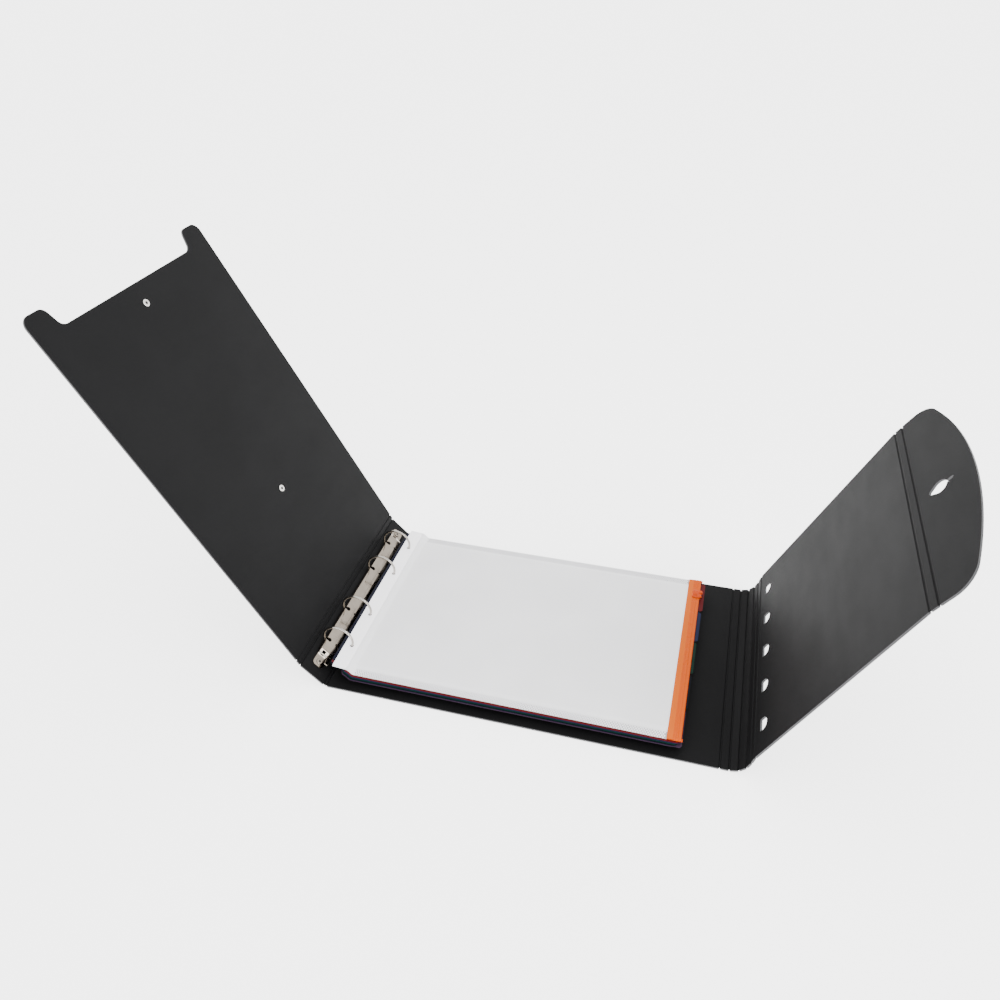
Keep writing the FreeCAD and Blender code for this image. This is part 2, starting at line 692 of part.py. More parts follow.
def pocket_top_film():
    """The upper film turns down along both long edges to meet the lower one."""
    left = hole_point(POCKET_HOLE_LEVEL)[0] + HOLE_WELD + DROP_RUN
    right = LEFT_CREASE + ZIP_LEFT - 0.1
    low = POCKET_BOTTOM + FILM_THICKNESS / 2.0 + 0.02
    high = POCKET_TOP + FILM_THICKNESS / 2.0
    film = box((left, -POCKET_HALF_LENGTH, low), (right, POCKET_HALF_LENGTH, high))
    inner = POCKET_HALF_LENGTH - 1.5
    hollow = box((left + 1.5, -inner, low - 1.0), (right + 1.0, inner, high - FILM_THICKNESS))
    return film.cut(hollow)


def pocket_ring_strip():
    lift = FILM_THICKNESS / 2.0
    return margin_strip(POCKET_HOLE_LEVEL, lift, 0.35, POCKET_HALF_LENGTH - 1.0)


def zip_band(lower):
    """Flat orange band of the closure, with a rib beside the track."""
    left, right = LEFT_CREASE + ZIP_LEFT, LEFT_CREASE + ZIP_RIGHT
    if lower:
        low, high = POCKET_BOTTOM - 0.2, POCKET_BOTTOM + 0.2
    else:
        low, high = POCKET_TOP - 0.2, POCKET_TOP + 0.2
    band = box((left, -POCKET_HALF_LENGTH, low), (right, POCKET_HALF_LENGTH, high))
    if not lower:
        for rib in (LEFT_CREASE + ZIP_TRACK - 2.6, LEFT_CREASE + ZIP_TRACK + 1.6):
            band = band.fuse(
                box((rib, -POCKET_HALF_LENGTH, high), (rib + 0.9, POCKET_HALF_LENGTH, high + 0.45))
            )
        band = band.removeSplitter()
    return band


def zip_track(lower):
    """Interlocking profile: a ridge below, a two-walled groove above."""
    middle = LEFT_CREASE + ZIP_TRACK
    floor = POCKET_BOTTOM + 0.2
    roof = POCKET_TOP - 0.2
    if lower:
        return box((middle - 0.4, -POCKET_HALF_LENGTH, floor), (middle + 0.4, POCKET_HALF_LENGTH, floor + 0.7))
    half = ZIP_TRACK_WIDTH / 2.0
    block = box((middle - half, -POCKET_HALF_LENGTH, floor + 0.1), (middle + half, POCKET_HALF_LENGTH, roof))
    groove = box(
        (middle - 0.6, -POCKET_HALF_LENGTH - 1, floor), (middle + 0.6, POCKET_HALF_LENGTH + 1, floor + 0.8)
    )
    return block.cut(groove)


def zip_end_stops():
    """Welded end pieces over the right edge of the closure, one at each end."""
    right = LEFT_CREASE + ZIP_RIGHT
    stops = []
    for side in (-1, 1):
        y = side * (POCKET_HALF_LENGTH - STOP_LENGTH / 2.0)
        low, high = y - STOP_LENGTH / 2.0, y + STOP_LENGTH / 2.0
        stops.append(box((right + 0.02, low, POCKET_BOTTOM - 0.1), (right + 1.2, high, POCKET_TOP + 0.3)))
    return Part.makeCompound(stops)


def zip_slider():
    """Saddle that runs along the closure, open on its left side, with a finger lug."""
    left = LEFT_CREASE + ZIP_TRACK - 3.2
    right = LEFT_CREASE + ZIP_RIGHT
    low, high = POCKET_BOTTOM - 0.2, POCKET_TOP + 1.3
    start, finish = SLIDER_PLACE - SLIDER_LENGTH / 2.0, SLIDER_PLACE + SLIDER_LENGTH / 2.0
    body = plate(
        [
            (left, start, 1.5), (right + 1.5, start, 1.5),
            (right + 1.5, finish, 1.5), (left, finish, 1.5),
        ],
        POCKET_TOP + 0.75, 0.85,
    )
    wall = box((right + 0.25, start + 1.2, low), (right + 1.1, finish - 1.2, POCKET_TOP + 0.75))
    lug = plate(
        [
            (right + 1.1, SLIDER_PLACE - 2.6, 0), (right + 3.2, SLIDER_PLACE - 2.6, 1.2),
            (right + 3.2, SLIDER_PLACE + 2.6, 1.2), (right + 1.1, SLIDER_PLACE + 2.6, 0),
        ],
        POCKET_TOP - 0.7, 1.4,
    )
    grip = box((left + 2.0, SLIDER_PLACE - 1.0, high), (right - 0.5, SLIDER_PLACE + 1.0, high + 0.5))
    return body.fuse(wall).fuse(lug).fuse(grip).removeSplitter()


# ---- the whole binder ------------------------------------------------------------------------
def all_nodes():
    nodes = {
        "base_panel": base_panel(),
        "spine_strip": left_strip("spine_strip", SPINE_STRIP - SPINE_STRIP_SLACK),
        "spine_panel": spine_panel(),
        "cover_strip": left_strip("cover_strip", COVER_STRIP),
        "front_cover": front_cover(),
        "wrap_flap": wrap_flap(),
        "tip_strip": right_strip("tip_strip", TIP_STRIP),
        "closing_tip": closing_tip(),
        "closing_button": closing_button(),
        "edge_rivet": edge_rivet(),
        "cover_washers": cover_washers(),
        "ring_rail": ring_rail(),
        "rail_rivets": rail_rivets(),
        "fixed_hinge_plate": hinge_plate(1),
        "moving_hinge_plate": hinge_plate(-1),
        "fixed_ring_halves": half_rings(1),
        "moving_ring_halves": half_rings(-1),
        "lever_pin": lever_pin(),
        "trigger_lever": trigger_lever(),
        "pocket_bottom_film": pocket_bottom_film(),
        "pocket_top_film": pocket_top_film(),
        "pocket_ring_strip": pocket_ring_strip(),
        "zip_band_lower": zip_band(True),
        "zip_band_upper": zip_band(False),
        "zip_track_lower": zip_track(True),
        "zip_track_upper": zip_track(False),
        "zip_end_stops": zip_end_stops(),
        "zip_slider": zip_slider(),
    }
    for number in range(1, GUSSET_COUNT + 1):
        name = "gusset_strip_%d" % number
        nodes[name] = right_strip(name, GUSSET_STRIP)
    for number, colour in enumerate(DIVIDER_NAMES):
        nodes["%s_divider" % colour] = divider_sheet(number)
        nodes["%s_divider_strip" % colour] = divider_strip(number)
    return nodes


def main():
    os.makedirs("parts", exist_ok=True)
    for name, shape in all_nodes().items():
        if not shape.isValid():
            print("not valid:", name)
        shape.exportStep("parts/%s.step" % name)


main()
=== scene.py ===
import json
import math

import bmesh
import bpy
from mathutils import Matrix, Vector, noise


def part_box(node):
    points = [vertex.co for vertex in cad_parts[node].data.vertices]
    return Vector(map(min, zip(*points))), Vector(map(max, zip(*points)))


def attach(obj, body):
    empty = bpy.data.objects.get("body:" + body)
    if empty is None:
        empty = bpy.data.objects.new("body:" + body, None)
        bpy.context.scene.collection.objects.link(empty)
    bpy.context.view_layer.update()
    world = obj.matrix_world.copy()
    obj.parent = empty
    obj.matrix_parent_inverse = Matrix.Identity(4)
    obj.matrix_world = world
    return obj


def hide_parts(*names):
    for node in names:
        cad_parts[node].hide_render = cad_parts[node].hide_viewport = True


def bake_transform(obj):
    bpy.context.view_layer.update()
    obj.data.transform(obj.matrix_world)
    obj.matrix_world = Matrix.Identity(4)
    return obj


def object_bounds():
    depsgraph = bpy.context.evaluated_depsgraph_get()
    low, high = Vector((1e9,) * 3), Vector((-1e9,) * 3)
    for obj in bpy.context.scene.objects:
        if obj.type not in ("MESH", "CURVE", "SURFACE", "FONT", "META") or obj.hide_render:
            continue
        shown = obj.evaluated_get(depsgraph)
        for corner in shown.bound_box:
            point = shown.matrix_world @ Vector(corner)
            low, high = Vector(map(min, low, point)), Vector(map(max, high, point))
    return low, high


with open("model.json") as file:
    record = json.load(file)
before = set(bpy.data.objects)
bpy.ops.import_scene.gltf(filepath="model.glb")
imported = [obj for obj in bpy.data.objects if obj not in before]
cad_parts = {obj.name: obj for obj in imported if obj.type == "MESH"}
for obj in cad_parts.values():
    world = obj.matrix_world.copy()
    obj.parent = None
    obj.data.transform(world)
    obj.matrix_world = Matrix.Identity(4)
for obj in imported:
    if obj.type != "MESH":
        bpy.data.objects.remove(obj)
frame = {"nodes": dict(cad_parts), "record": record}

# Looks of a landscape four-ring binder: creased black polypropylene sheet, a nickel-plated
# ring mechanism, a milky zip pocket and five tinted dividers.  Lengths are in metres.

cad_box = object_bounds()
MM = 0.001
NODES = frame["nodes"]
RECORD = frame["record"]
JOINTS = {joint["name"]: joint for joint in RECORD["behaviour"]["joints"]}
BODY_OF = {}
for body_name, members in RECORD["behaviour"]["bodies"].items():
    for member in members:
        BODY_OF[member] = body_name


def joint_point(name):
    """Where a joint's axis stands at rest."""
    return Vector(JOINTS[name]["pos_m"])


# ---- camera and studio ---------------------------------------------------------------
CAMERA_AZIMUTH = 16.02
CAMERA_ELEVATION = 37.19
CAMERA_ROLL = -1.28
CAMERA_TARGET = Vector((-0.0861, 0.1905, 0.0))
CAMERA_DISTANCE = 0.9945
CAMERA_LENS = 29.21
SENSOR_WIDTH = 36.0
CAMERA_SHIFT = (-0.0097, 0.0140)
WORLD_STRENGTH = 2.1
LIGHT_SIZE = 0.9
# name, place, point it looks at, watts
LIGHTS = [
    ("key", (1.3, -0.5, 0.9), (-0.25, 0.0, 0.15), 15.0),
    ("fill", (-1.2, -0.7, 1.0), (0.25, 0.0, 0.1), 1.5),
]
FLOOR_REACH = 30.0
FLOOR_GAP = 0.3 * MM
FLOOR_GLOW = 2.6


def add_camera():
    """A pinhole camera given by its angles round the target, its distance and its image shift."""
    azimuth = math.radians(CAMERA_AZIMUTH)
    elevation = math.radians(CAMERA_ELEVATION)
    roll = math.radians(CAMERA_ROLL)
    back = Vector((
        math.sin(azimuth) * math.cos(elevation),
        -math.cos(azimuth) * math.cos(elevation),
        math.sin(elevation),
    ))
    level_right = (-back).cross(Vector((0, 0, 1))).normalized()
    level_up = level_right.cross(-back)
    right = math.cos(roll) * level_right + math.sin(roll) * level_up
    up = math.cos(roll) * level_up - math.sin(roll) * level_right
    turn = Matrix((right, up, back)).transposed().to_4x4()
    camera = bpy.data.objects.new("camera", bpy.data.cameras.new("camera"))
    camera.matrix_world = Matrix.Translation(CAMERA_TARGET + back * CAMERA_DISTANCE) @ turn
    camera.data.lens = CAMERA_LENS
    camera.data.sensor_width = SENSOR_WIDTH
    camera.data.shift_x, camera.data.shift_y = CAMERA_SHIFT
    camera.data.clip_start = 0.01
    bpy.context.collection.objects.link(camera)
    bpy.context.scene.camera = camera


def add_area_light(name, place, target, power):
    """A square soft light turned towards the target."""
    light = bpy.data.lights.new(name, "AREA")
    light.shape = "RECTANGLE"
    light.size, light.size_y = LIGHT_SIZE, LIGHT_SIZE
    light.energy = power
    lamp = bpy.data.objects.new(name, light)
    lamp.location = place
    lamp.rotation_euler = (Vector(target) - Vector(place)).to_track_quat("-Z", "Y").to_euler()
    bpy.context.collection.objects.link(lamp)


def add_studio():
    """A white surround, two soft lights and a pale floor just under the binder."""
    world = bpy.data.worlds.new("studio")
    world.use_nodes = True
    backdrop = world.node_tree.nodes["Background"]
    backdrop.inputs["Color"].default_value = (1.0, 1.0, 1.0, 1.0)
    backdrop.inputs["Strength"].default_value = WORLD_STRENGTH
    bpy.context.scene.world = world
    for name, place, target, power in LIGHTS:
        add_area_light(name, place, target, power)
    mesh = bpy.data.meshes.new("floor")
    reach = FLOOR_REACH
    mesh.from_pydata(
        [(-reach, -reach, 0), (reach, -reach, 0), (reach, reach, 0), (-reach, reach, 0)],
        [], [(0, 1, 2, 3)],
    )
    floor = bpy.data.objects.new("floor", mesh)
    floor.location.z = cad_box[0][2] - FLOOR_GAP
    bpy.context.collection.objects.link(floor)
    paper, shader = new_material("floor_paper", (0.92, 0.92, 0.92), 0.9)
    shader.inputs["Specular IOR Level"].default_value = 0.1
    shader.inputs["Emission Color"].default_value = (1.0, 1.0, 1.0, 1.0)
    shader.inputs["Emission Strength"].default_value = FLOOR_GLOW
    floor.data.materials.append(paper)


# ---- materials -----------------------------------------------------------------------
def new_material(name, color, roughness, metallic=0.0):
    """A principled material and its shader node."""
    material = bpy.data.materials.new(name)
    material.use_nodes = True
    shader = material.node_tree.nodes["Principled BSDF"]
    shader.inputs["Base Color"].default_value = (*color, 1.0)
    shader.inputs["Roughness"].default_value = roughness
    shader.inputs["Metallic"].default_value = metallic
    return material, shader


def noise_on(material, scale, detail=2.0, stretch=(1.0, 1.0, 1.0)):
    """Noise in the piece's own space, as a texture node."""
    tree = material.node_tree
    place = tree.nodes.new("ShaderNodeTexCoord")
    mapping = tree.nodes.new("ShaderNodeMapping")
    mapping.inputs["Scale"].default_value = stretch
    tree.links.new(place.outputs["Object"], mapping.inputs["Vector"])
    texture = tree.nodes.new("ShaderNodeTexNoise")
    texture.inputs["Scale"].default_value = scale
    texture.inputs["Detail"].default_value = detail
    tree.links.new(mapping.outputs["Vector"], texture.inputs["Vector"])
    return texture


def ramp_on(material, source, low, high, start=0.35, finish=0.65):
    """Maps a texture's factor onto values or colours between low and high."""
    tree = material.node_tree
    ramp = tree.nodes.new("ShaderNodeValToRGB")
    ramp.color_ramp.elements[0].position = start
    ramp.color_ramp.elements[1].position = finish
    for element, value in zip(ramp.color_ramp.elements, (low, high)):
        color = (value, value, value) if isinstance(value, float) else value
        element.color = (*color, 1.0)
    tree.links.new(source.outputs["Fac"], ramp.inputs["Fac"])
    return ramp


def bump_on(material, shader, source, strength, distance, under=None):
    """Surface relief from a texture, on top of an earlier relief if one is given."""
    tree = material.node_tree
    bump = tree.nodes.new("ShaderNodeBump")
    bump.inputs["Strength"].default_value = strength
    bump.inputs["Distance"].default_value = distance
    tree.links.new(source.outputs[0], bump.inputs["Height"])
    if under:
        tree.links.new(under.outputs["Normal"], bump.inputs["Normal"])
    tree.links.new(bump.outputs["Normal"], shader.inputs["Normal"])
    return bump


def sheet_material(name, color, lift, roughness):
    """Extruded polypropylene: fine sandy grain, faint cloudiness and handling marks."""
    material, shader = new_material(name, color, roughness)
    shader.inputs["Specular IOR Level"].default_value = 0.075
    cloud = noise_on(material, 14.0, 4.0)
    tint = ramp_on(material, cloud, color, tuple(min(1.0, part * lift) for part in color))
    material.node_tree.links.new(tint.outputs["Color"], shader.inputs["Base Color"])
    marks = noise_on(material, 55.0, 6.0, (1.0, 0.35, 1.0))
    gloss = ramp_on(material, marks, roughness - 0.015, roughness + 0.02)
    material.node_tree.links.new(gloss.outputs["Color"], shader.inputs["Roughness"])
    grain = noise_on(material, 1500.0, 3.0)
    fine = bump_on(material, shader, grain, 0.8, 0.10 * MM)
    waves = noise_on(material, 28.0, 1.0)
    bump_on(material, shader, waves, 0.04, 0.5 * MM, fine)
    return material


def nickel_material(name, color, roughness, mottle):
    """Nickel plate over pressed steel: slightly uneven polish."""
    material, shader = new_material(name, color, roughness, 1.0)
    streaks = noise_on(material, 260.0, 4.0, (1.0, 0.25, 1.0))
    polish = ramp_on(material, streaks, roughness - 0.06, roughness + 0.10)
    material.node_tree.links.new(polish.outputs["Color"], shader.inputs["Roughness"])
    cloud = noise_on(material, 90.0, 3.0)
    tint = ramp_on(material, cloud, color, tuple(part * 0.88 for part in color))
    material.node_tree.links.new(tint.outputs["Color"], shader.inputs["Base Color"])
    bump_on(material, shader, noise_on(material, 170.0, 2.0), mottle, 0.12 * MM)
    return material


def film_material(name, color, roughness, shine=0.22, glow=0.0):
    """Thin embossed film, tinted and a little cloudy; the glow stands for light let through."""
    material, shader = new_material(name, color, roughness)
    shader.inputs["Specular IOR Level"].default_value = shine
    shader.inputs["Emission Color"].default_value = (*color, 1.0)
    shader.inputs["Emission Strength"].default_value = glow
    cloud = noise_on(material, 22.0, 3.0)
    tint = ramp_on(material, cloud, color, tuple(part * 0.94 for part in color))
    material.node_tree.links.new(tint.outputs["Color"], shader.inputs["Base Color"])
    gloss = ramp_on(material, noise_on(material, 70.0, 3.0), roughness - 0.04, roughness + 0.06)
    material.node_tree.links.new(gloss.outputs["Color"], shader.inputs["Roughness"])
    fine = bump_on(material, shader, noise_on(material, 900.0, 2.0), 0.2, 0.04 * MM)
    bump_on(material, shader, noise_on(material, 24.0, 1.0), 0.05, 0.5 * MM, fine)
    return material


BLACK = sheet_material("black_sheet", (0.0056, 0.0056, 0.0059), 1.2, 0.56)
# paler black for the cut edges: partly their whitish cut, partly a painted highlight along the sheet's
# edges
CUT_EDGE_AND_HIGHLIGHT = sheet_material("black_cut_edge_and_highlight", (0.060, 0.060, 0.062), 1.4, 0.42)
NICKEL = nickel_material("nickel_plate", (0.32, 0.28, 0.235), 0.15, 1.0)
WIRE = nickel_material("nickel_wire", (0.46, 0.43, 0.39), 0.14, 0.08)
WASHER_METAL = nickel_material("washer_nickel", (0.88, 0.86, 0.82), 0.20, 0.1)
# painted shade: dark metal for the discs that stand for the shade inside the rivets' bores
BORE_SHADE_METAL = nickel_material("painted_bore_shade", (0.05, 0.05, 0.05), 0.45, 0.1)
POCKET_FILM = film_material("milky_film", (0.90, 0.90, 0.915), 0.30, glow=0.40)
WELD_FILM = film_material("weld_film", (0.53, 0.535, 0.55), 0.24, glow=0.10)
STRIP_WHITE = film_material("white_strip", (0.985, 0.975, 1.0), 0.36, glow=1.0)
ORANGE_PALE = film_material("orange_band", (0.62, 0.115, 0.004), 0.32, 0.12, 0.22)
ORANGE = film_material("orange_track", (0.58, 0.085, 0.0008), 0.27, 0.12, 0.22)
ORANGE_DEEP = film_material("orange_slider", (0.54, 0.055, 0.0004), 0.25, 0.15, 0.15)
NAVY_STRIP = film_material("navy_strip", (0.004, 0.005, 0.016), 0.20, 0.12)
TINTS = {
    "red": (0.095, 0.0050, 0.0070),
    "blue": (0.011, 0.015, 0.050),
    "teal": (0.001, 0.024, 0.014),
    "navy": (0.0010, 0.0028, 0.009),
    "grey": (0.040, 0.022, 0.045),
}
TINTED = {
    name: film_material("%s_tinted_film" % name, color, 0.42, 0.10)
    for name, color in TINTS.items()
}


# ---- mesh helpers --------------------------------------------------------------------
SHARP_ANGLE = math.radians(32.0)
FLAT_ANGLE = math.radians(0.4)    # faces that differ by less are merged
SEAM = 0.002 * MM                 # points closer than this are joined
CUT_FACE = 0.25                   # a cut edge's normal has a smaller cosine with the sheet's


def add_piece(name, mesh, body, *materials):
    """An object from a mesh, smooth between its sharp edges, that rides on a body if one is given."""
    piece = bpy.data.objects.new(name, mesh)
    bpy.context.collection.objects.link(piece)
    for material in materials:
        mesh.materials.append(material)
    mesh.shade_smooth()
    mesh.set_sharp_from_angle(angle=SHARP_ANGLE)
    flatten_shading(piece)
    if body:
        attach(piece, body)
    return piece


def mesh_from(form, name):
    """Turns a finished bmesh into a new mesh."""
    mesh = bpy.data.meshes.new(name)
    form.to_mesh(mesh)
    form.free()
    return mesh


def flatten_shading(piece):
    """Weights the normals by face area, so that flat faces shade flat up to their rounded edges."""
    weigh = piece.modifiers.new("weigh", "WEIGHTED_NORMAL")
    weigh.mode = "FACE_AREA"
    weigh.weight = 100
    weigh.keep_sharp = True
    shaped = piece.evaluated_get(bpy.context.evaluated_depsgraph_get())
    mesh = bpy.data.meshes.new_from_object(shaped)
    mesh.name = piece.data.name
    piece.modifiers.clear()
    piece.data = mesh


def soften(mesh, width, segments=2):
    """Joins the mesh's seams, merges flat faces and rounds its sharp edges."""
    form = bmesh.new()
    form.from_mesh(mesh)
    bmesh.ops.remove_doubles(form, verts=form.verts, dist=SEAM)
    bmesh.ops.dissolve_limit(form, angle_limit=FLAT_ANGLE, verts=form.verts, edges=form.edges)
    sharp = [e for e in form.edges if e.is_manifold and e.calc_face_angle(0.0) > SHARP_ANGLE]
    bmesh.ops.bevel(
        form, geom=sharp, offset=width, offset_type="OFFSET", segments=segments,
        profile=0.5, affect="EDGES", clamp_overlap=True,
    )
    bmesh.ops.recalc_face_normals(form, faces=form.faces)
    form.to_mesh(mesh)
    form.free()


def finished_copy(node, width, *materials, segments=2, shape=None):
    """A rounded, smooth-shaded copy of a CAD node that stands for it."""
    mesh = NODES[node].data.copy()
    mesh.name = "%s_finished" % node
    mesh.materials.clear()
    if shape:
        shape(mesh)
    soften(mesh, width, segments)
    piece = add_piece("%s_finished" % node, mesh, BODY_OF[node], *materials)
    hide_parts(node)
    return piece


def widest_normal(mesh):
    """The normal of the direction that most of the mesh's area faces."""
    total = {}
    for face in mesh.polygons:
        key = tuple(round(part, 2) for part in face.normal)
        total[key] = total.get(key, Vector()) + face.normal * face.area
    return max(total.values(), key=lambda summed: summed.length).normalized()


def mark_cut_edges(piece):
    """Gives the faces across the sheet's thickness the second material, a paler black that is partly the
    cut's own whitish tone and partly a painted highlight along the edges.
    """
    normal = widest_normal(piece.data)
    for face in piece.data.polygons:
        if abs(face.normal.dot(normal)) < CUT_FACE:
            face.material_index = 1


def extruded(name, outline, y_low, y_high, rows, body, *materials):
    """A closed (x, z) outline drawn out along Y in equal rows, with flat ends."""
    verts, faces = [], []
    count = len(outline)
    for row in range(rows + 1):
        y = y_low + (y_high - y_low) * row / rows
        verts += [(x, y, z) for x, z in outline]
    for row in range(rows):
        for index in range(count):
            following = (index + 1) % count
            faces.append((
                row * count + index, row * count + following,
                (row + 1) * count + following, (row + 1) * count + index,
            ))
    faces.append(tuple(range(count)))
    faces.append(tuple(reversed(range(rows * count, (rows + 1) * count))))
    mesh = bpy.data.meshes.new(name)
    mesh.from_pydata(verts, [], faces)
    form = bmesh.new()
    form.from_mesh(mesh)
    bmesh.ops.recalc_face_normals(form, faces=form.faces)
    form.to_mesh(mesh)
    form.free()
    return add_piece(name, mesh, body, *materials)


# ---- cover sheet ---------------------------------------------------------------------
PANELS = [
    "base_panel", "spine_panel", "cover_strip", "front_cover",
    "gusset_strip_1", "gusset_strip_2", "gusset_strip_3", "gusset_strip_4", "gusset_strip_5",
    "wrap_flap", "tip_strip", "closing_tip",
]
PANEL_EDGE = 0.28 * MM
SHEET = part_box("base_panel")[1][2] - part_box("base_panel")[0][2]
GUSSET_STRIPS = 5
WEB_HALF = 0.30 * MM          # half the thickness left in a crease
WEB_REACH = 0.95 * MM         # the web runs this far into the panels
WEB_END = 1.4 * MM            # it stops short of the sheet's edges
WEB_ROWS = 4                  # along the crease
STRIP_LONGER = 0.4 * MM       # the spine strip runs this much nearer to the sheet's edges
BASE_CENTRE = Vector((0.0, 0.0, SHEET / 2.0))


def finish_panels():
    """The cover's panels with rounded cut edges, painted paler: partly the cut's whitish tone, partly a
    painted highlight.
    """
    for node in PANELS:
        mark_cut_edges(finished_copy(node, PANEL_EDGE, BLACK, CUT_EDGE_AND_HIGHLIGHT))


def across(start, finish):
    """The direction from one point to another, square to the folds."""
    direction = finish - start
    direction.y = 0.0
    return direction.normalized()


def crease_web(name, fold, toward_a, toward_b):
    """The thin folded skin at the bottom of a crease, bending from one panel to the next."""
    line = []
    for share in (-1.0, -0.5, 0.0, 0.5, 1.0):
        side = toward_a if share < 0 else toward_b
        line.append(fold + side * abs(share) * WEB_REACH)
    outline = []
    for points in (line, line[::-1]):
        for index, point in enumerate(points):
            before, after = points[max(index - 1, 0)], points[min(index + 1, len(points) - 1)]
            run = (after - before).normalized()
            normal = Vector((-run.z, 0.0, run.x))
            place = point + normal * WEB_HALF
            outline.append((place.x, place.z))
    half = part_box("base_panel")[1][1] - WEB_END
    web = extruded(name, outline, -half, half, WEB_ROWS, None, BLACK)
    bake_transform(web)


def far_corner(node, side):
    """The free edge's middle, for a panel that leans out to one side."""
    low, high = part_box(node)
    return Vector((high[0] if side > 0 else low[0], 0.0, high[2]))


def add_webs(folds, start, finish):
    """A web in each crease of a chain of panels; folds are (body, next body, place of the crease)."""
    chain = [start] + [fold for _, _, fold in folds] + [finish]
    for index, (body_a, body_b, fold) in enumerate(folds, 1):
        crease_web(
            "crease_%s_%s" % (body_a, body_b), fold,
            across(fold, chain[index - 1]), across(fold, chain[index + 1]),
        )


def add_creases():
    """The webs left and right of the base, and the narrow strip beside the spine."""
    strip_low = joint_point("spine_strip_fold")
    strip_high = 2.0 * joint_point("spine_fold") - strip_low
    left = [
        ("spine", "cover_strip", joint_point("cover_strip_fold")),
        ("cover_strip", "cover", joint_point("cover_fold")),
    ]
    add_webs(left, strip_high, far_corner("front_cover", -1))
    right = [("base", "gusset_1", joint_point("gusset_fold_1"))]
    for number in range(2, GUSSET_STRIPS + 1):
        fold = joint_point("gusset_fold_%d" % number)
        right.append(("gusset_%d" % (number - 1), "gusset_%d" % number, fold))
    right.append(("gusset_%d" % GUSSET_STRIPS, "flap", joint_point("flap_fold")))
    right.append(("flap", "tip_strip", joint_point("tip_strip_fold")))
    right.append(("tip_strip", "tip", joint_point("tip_lift")))
    add_webs(right, BASE_CENTRE, far_corner("closing_tip", 1))
    add_spine_strip(strip_low, strip_high, joint_point("cover_strip_fold"))


def add_spine_strip(low, high, spine_top):
    """The narrow strip between base and spine with both its creases, as one bending piece."""
    toward_base = across(low, BASE_CENTRE)
    toward_spine = across(high, spine_top)
    along = across(low, high)
    half = SHEET / 2.0
    width = (high - low).length
    # distance along the line, then the inner and the outer face as shares of half the thickness
    profile = [
        (-WEB_REACH, 0.3, -0.3), (-0.10 * MM, 0.3, -0.3), (0.25 * MM, 0.32, -0.5),
        (0.75 * MM, 0.82, -0.96), (1.05 * MM, 1.0, -1.0), (width / 2.0, 1.0, -1.0),
        (width - 1.05 * MM, 1.0, -1.0), (width - 0.75 * MM, 0.82, -0.96),
        (width - 0.25 * MM, 0.32, -0.5), (width + 0.10 * MM, 0.3, -0.3), (width + WEB_REACH, 0.3, -0.3),
    ]
    upper, lower = [], []
    for distance, inner, outer in profile:
        if distance < 0:
            point, run = low + toward_base * -distance, -toward_base
        elif distance > width:
            point, run = high + toward_spine * (distance - width), toward_spine
        else:
            point, run = low + along * distance, along
        normal = Vector((run.z, 0.0, -run.x))
        upper.append(point + normal * inner * half)
        lower.append(point + normal * outer * half)
    outline = [(p.x, p.z) for p in upper + lower[::-1]]
    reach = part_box("base_panel")[1][1] - WEB_END + STRIP_LONGER
    strip = extruded("spine_strip_sheet", outline, -reach, reach, WEB_ROWS, None, BLACK)
    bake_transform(strip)
    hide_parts("spine_strip")


# ---- metal ---------------------------------------------------------------------------
SPINE_LOW = 2.0 * joint_point("spine_fold") - joint_point("spine_strip_fold")
SPINE_ALONG = (joint_point("cover_strip_fold") - SPINE_LOW).normalized()
SPINE_UP = Vector((SPINE_ALONG.z, 0.0, -SPINE_ALONG.x))
RAIL_RIDGE = 2.6 * MM          # right of the rail's ridge line
RAIL_RIGHT = 7.65 * MM         # the plain rail's right wall
RAIL_WIDER = 2.4 * MM          # how much further the pressed rail reaches on that side
RAIL_SHOULDER = 6.05 * MM      # where the top turns down into the right wall
RAIL_RAISED = 0.95 * MM        # the pressed rail stays level as far as that shoulder
RAIL_TOP_BAND = 4.4 * MM       # heights above this belong to the top
RAIL_HALF_LENGTH = 90.2 * MM
RAIL_RIVET = 101.5 * MM        # from the rail's middle, along it
RAIL_RIVET_TOP = 3.05 * MM     # above the middle of the spine sheet
BUTTON_PLACE = 122.8 * MM      # from the cover's crease
RIVET_PLACE = 329.0 * MM
# size and place of the painted shade discs in the rivets' bores
CORE_RADIUS = 1.3 * MM
CORE_SIDES = 24
CORE_TAPER = 0.9
CORE_DEPTH = 0.2 * MM
CORE_HEIGHT = 0.55 * MM        # above the cover's inner face


def box_middle(node):
    """The middle of a node's box."""
    low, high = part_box(node)
    return (low + high) / 2.0


def widen_rail(mesh):
    """Spreads the arch right of its ridge line towards the base."""
    middle = (box_middle("rail_rivets") - SPINE_LOW).dot(SPINE_ALONG)
    for vert in mesh.vertices:
        across_rail = middle - (vert.co - SPINE_LOW).dot(SPINE_ALONG)
        if across_rail > RAIL_RIDGE and abs(vert.co.y) < RAIL_HALF_LENGTH:
            share = (across_rail - RAIL_RIDGE) / (RAIL_RIGHT - RAIL_RIDGE)
            height = (vert.co - SPINE_LOW).dot(SPINE_UP)
            vert.co -= SPINE_ALONG * share * RAIL_WIDER
            if height > RAIL_TOP_BAND:
                along_top = (across_rail - RAIL_RIDGE) / (RAIL_SHOULDER - RAIL_RIDGE)
                vert.co += SPINE_UP * RAIL_RAISED * min(along_top, 1.0)


